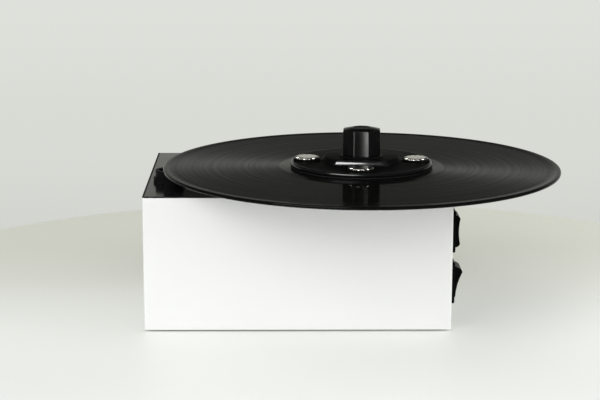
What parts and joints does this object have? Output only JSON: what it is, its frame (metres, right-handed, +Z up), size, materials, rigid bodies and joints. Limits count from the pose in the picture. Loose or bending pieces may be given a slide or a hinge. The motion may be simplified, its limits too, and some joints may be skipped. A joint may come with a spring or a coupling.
{
  "type": "record cleaning machine",
  "caption": "Compact vacuum record cleaning machine: boxed base with a driven platter, a clamped disc, a screw-down clamp knob and rocker switches on its side.",
  "frame": {"origin": "centre of the casing's footprint, in the plane of the table under the feet", "axes": "+Z up, +X to the right towards the switch side, +Y to the rear panel; the plain front faces -Y"},
  "size_m": [0.3137, 0.3016, 0.1438],
  "materials": {
    "satin_aluminium": "satin brushed",
    "black_gloss": "glossy",
    "black_satin": "satin",
    "vinyl": "grooved vinyl",
    "label_paper": "plain paper",
    "chrome": "polished",
    "zinc_steel": "zinc plated",
    "black_rubber": "matt",
    "bronze": "sintered",
    "brass": "turned",
    "tank_plastic": "moulded",
    "motor_steel": "drawn",
    "board_green": "solder mask",
    "copper": "enamelled wire",
    "inner_aluminium": "machined"
  },
  "bodies": {
    "chassis": {"air_sleeve": "black_rubber", "arm_socket": "black_satin", "arm_socket_nut": "black_satin", "base_plate": "zinc_steel", "bearing_housing": "inner_aluminium", "blower_cover": "black_satin", "blower_housing": "black_satin", "blower_motor": "motor_steel", "blower_saddles": "black_rubber", "board_parts": "black_satin", "control_board": "board_green", "corner_posts": "inner_aluminium", "drain_spigot": "black_satin", "drain_tube": "black_rubber", "drive_standoffs": "zinc_steel", "gearbox": "motor_steel", "gearmotor_can": "motor_steel", "inlet_pins": "brass", "mains_inlet": "black_satin", "motor_plate": "zinc_steel", "pan_screws": "zinc_steel", "rear_panel": "black_satin", "rubber_feet": "black_rubber", "spindle_bushes": "bronze", "suction_hose": "black_rubber", "sunk_screws": "zinc_steel", "switch_frames": "black_satin", "switch_terminals": "brass", "tank_gasket": "black_rubber", "tank_lid": "tank_plastic", "thrust_washer": "tank_plastic", "top_plate": "black_gloss", "transformer_coil": "copper", "transformer_core": "motor_steel", "waste_tank": "tank_plastic", "wrap_cover": "satin_aluminium"},
    "platter": {"spindle_shaft": "zinc_steel", "platter": "inner_aluminium", "platter_mat": "black_rubber", "platter_screws": "zinc_steel", "shaft_coupling": "inner_aluminium", "gearbox_shaft": "zinc_steel"},
    "record": {"record_disc": "vinyl", "record_label": "label_paper"},
    "clamp": {"clamp_disc": "black_gloss", "clamp_base": "black_gloss", "clamp_seal": "black_rubber", "clamp_collars": "black_gloss", "clamp_screws": "chrome"},
    "knob_carrier": {"knob_washer": "black_satin"},
    "knob": {"clamp_knob": "black_gloss", "knob_cap": "black_satin", "knob_insert": "brass", "insert_clip": "zinc_steel"},
    "motor_switch": {"motor_rocker": "black_gloss"},
    "vacuum_switch": {"vacuum_rocker": "black_gloss"},
    "fan": {"blower_impeller": "inner_aluminium", "blower_shaft": "zinc_steel"},
    "drain_stopper": {"drain_cap": "black_rubber"}
  },
  "joints": [
    {"name": "platter_spin", "type": "hinge", "parent": "chassis", "child": "platter", "pos_m": [0.0489, -0.03, 0.1], "axis": [0, 0, 1], "continuous": true},
    {"name": "record_lift", "type": "slide", "parent": "platter", "child": "record", "axis": [0, 0, 1], "range_m": [0, 0.08]},
    {"name": "clamp_lift", "type": "slide", "parent": "record", "child": "clamp", "axis": [0, 0, 1], "range_m": [0, 0.04]},
    {"name": "knob_rise", "type": "slide", "parent": "clamp", "child": "knob_carrier", "axis": [0, 0, 1], "range_m": [0, 0.0025]},
    {"name": "knob_turn", "type": "hinge", "parent": "knob_carrier", "child": "knob", "pos_m": [0.0489, -0.03, 0.13], "axis": [0, 0, 1], "range_deg": [0, 721]},
    {"name": "motor_rocker_tilt", "type": "hinge", "parent": "chassis", "child": "motor_switch", "pos_m": [0.1142, -0.064, 0.0726], "axis": [0, 1, 0], "range_deg": [-15, 15]},
    {"name": "vacuum_rocker_tilt", "type": "hinge", "parent": "chassis", "child": "vacuum_switch", "pos_m": [0.1142, -0.064, 0.0336], "axis": [0, 1, 0], "range_deg": [-30, 0]},
    {"name": "blower_spin", "type": "hinge", "parent": "chassis", "child": "fan", "pos_m": [-0.042, 0.02, 0.05], "axis": [0, 1, 0], "continuous": true},
    {"name": "drain_cap_pull", "type": "slide", "parent": "chassis", "child": "drain_stopper", "axis": [0, 1, 0], "range_m": [0, 0.02]}
  ],
  "couplings": [
    {"joint": "knob_turn", "follows": "knob_rise", "rad_per_m": 5026.5}
  ]
}
